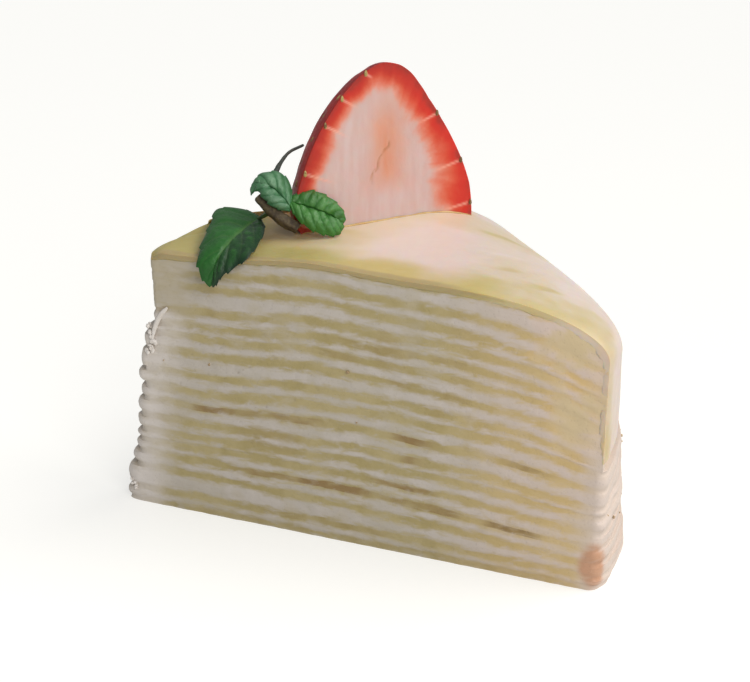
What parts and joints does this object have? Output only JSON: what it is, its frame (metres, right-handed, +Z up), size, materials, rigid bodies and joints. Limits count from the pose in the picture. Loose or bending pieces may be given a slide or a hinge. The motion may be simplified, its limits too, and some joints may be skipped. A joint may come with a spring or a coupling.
{
  "type": "mille crepe cake slice",
  "caption": "Wedge slice of a mille crepe cake: thin crepes and cream in layers under a draped top crepe, with half a strawberry and a mint sprig on top.",
  "frame": {"origin": "middle of the footprint's bounding box, on the surface that the slice stands on", "axes": "+X from the slice's tip to its rim along its centreline, -Y towards the cut face that the strawberry's flat face looks over, +Z up"},
  "size_m": [0.1026, 0.0786, 0.0902],
  "materials": {
    "crepe": "matte",
    "cream": "satin",
    "top_crepe": "satin",
    "strawberry": "gloss",
    "mint_leaf": "satin",
    "mint_stem": "matte"
  },
  "bodies": {
    "root": {"crepe_01": "crepe", "cream_01": "cream", "crepe_02": "crepe", "cream_02": "cream", "crepe_03": "crepe", "cream_03": "cream", "crepe_04": "crepe", "cream_04": "cream", "crepe_05": "crepe", "cream_05": "cream", "crepe_06": "crepe", "cream_06": "cream", "crepe_07": "crepe", "cream_07": "cream", "crepe_08": "crepe", "cream_08": "cream", "crepe_09": "crepe", "cream_09": "cream", "crepe_10": "crepe", "cream_10": "cream", "crepe_11": "crepe", "cream_11": "cream", "crepe_12": "crepe", "cream_12": "cream", "crepe_13": "crepe", "cream_13": "cream", "crepe_14": "crepe", "cream_14": "cream", "crepe_15": "crepe", "cream_15": "cream", "crepe_16": "crepe", "cream_16": "cream", "top_crepe": "top_crepe", "strawberry_half": "strawberry", "mint_leaf_large": "mint_leaf", "mint_leaf_small": "mint_leaf", "mint_leaf_right": "mint_leaf", "mint_stem": "mint_stem", "mint_stalk": "mint_stem"}
  },
  "joints": []
}
